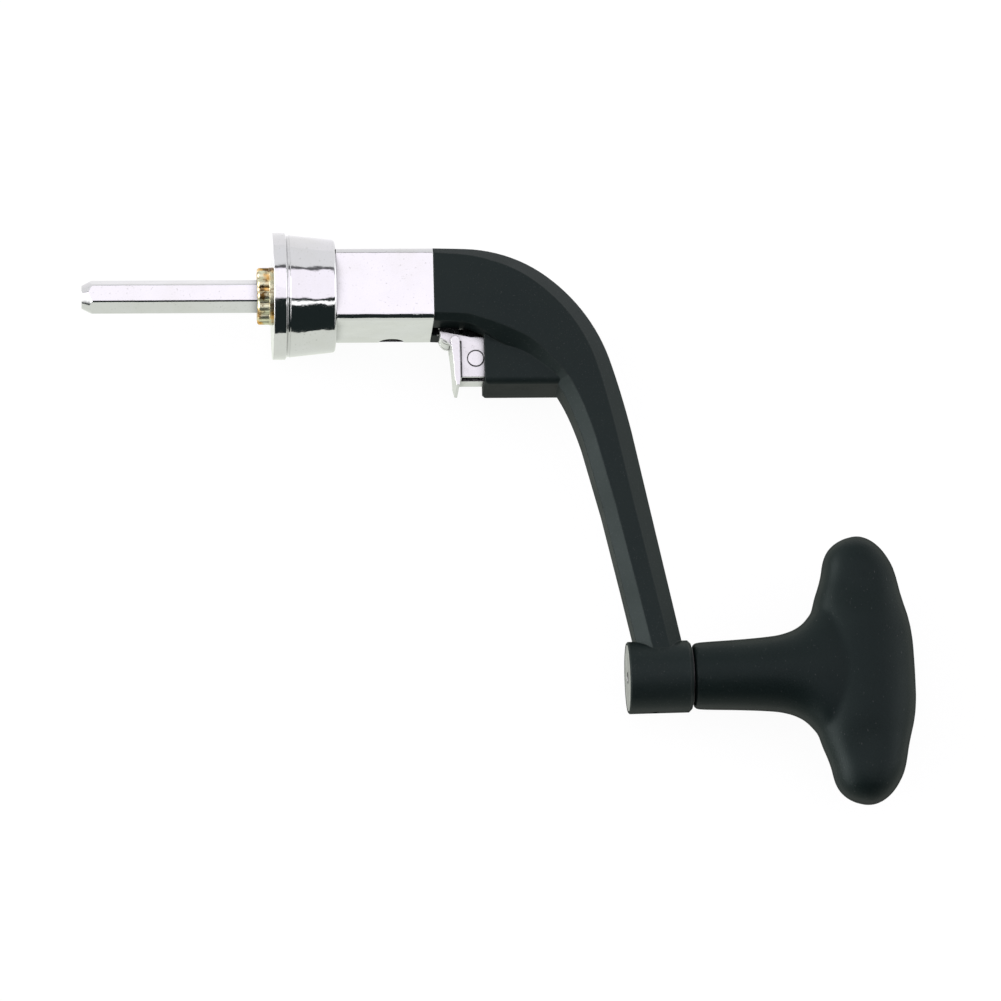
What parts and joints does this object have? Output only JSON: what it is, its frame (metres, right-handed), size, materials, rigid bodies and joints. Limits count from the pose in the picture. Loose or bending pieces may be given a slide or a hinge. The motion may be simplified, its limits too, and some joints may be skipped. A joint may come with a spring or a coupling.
{
  "type": "folding crank handle",
  "caption": "Folding crank handle with a hexagonal drive shaft, flanged collar, square hinge block, curved arm, sprung release lever and a freely turning T-shaped knob.",
  "frame": {"origin": "on the drive shaft's axis, in the plane of the collar's seat face", "axes": "+X along the drive shaft towards the arm, the arm hangs towards -Y, +Z is the normal of the plane in which the arm folds"},
  "size_m": [0.1355, 0.0972, 0.021],
  "materials": {
    "chrome": "bright chrome plate, fine polishing lines",
    "steel": "bare machined steel",
    "brass": "turned brass, slightly tarnished",
    "arm_paint": "black satin paint on die-cast alloy",
    "washer_plastic": "black nylon",
    "core_plastic": "black moulded plastic",
    "grip_rubber": "black soft-touch rubber"
  },
  "bodies": {
    "drive": {"drive_shaft": "chrome", "seat_bush": "brass", "collar": "chrome", "hinge_block": "chrome", "shaft_lock_screw": "steel"},
    "arm": {"crank_arm": "arm_paint", "hinge_clevis": "steel", "fold_pin": "steel", "fold_washer_front": "brass", "fold_washer_back": "brass", "lever_stop_pin": "steel", "lever_spring": "steel", "knob_spindle": "steel", "hub_lock_screw": "steel", "spindle_washer": "washer_plastic", "spindle_end_washer": "steel", "spindle_clip": "steel"},
    "lever": {"release_lever": "chrome", "lever_catch": "steel", "lever_rivet": "chrome"},
    "knob": {"knob_core": "core_plastic", "knob_end_plug": "core_plastic", "knob_grip": "grip_rubber", "knob_bush_inner": "brass", "knob_bush_outer": "brass"}
  },
  "joints": [
    {"name": "fold", "type": "hinge", "parent": "drive", "child": "arm", "pos_m": [0.029, -0.0073, 0], "axis": [0, 0, -1], "range_deg": [0, 90]},
    {"name": "lever_press", "type": "slide", "parent": "arm", "child": "lever", "axis": [1, 0, 0], "range_m": [0, 0.002], "stiffness_N_per_m": 500, "springref_m": -0.002, "deforming": ["lever_spring"]},
    {"name": "knob_spin", "type": "hinge", "parent": "arm", "child": "knob", "pos_m": [0.06215, -0.0652, 0], "axis": [0.9998, 0.0209, 0], "continuous": true}
  ]
}
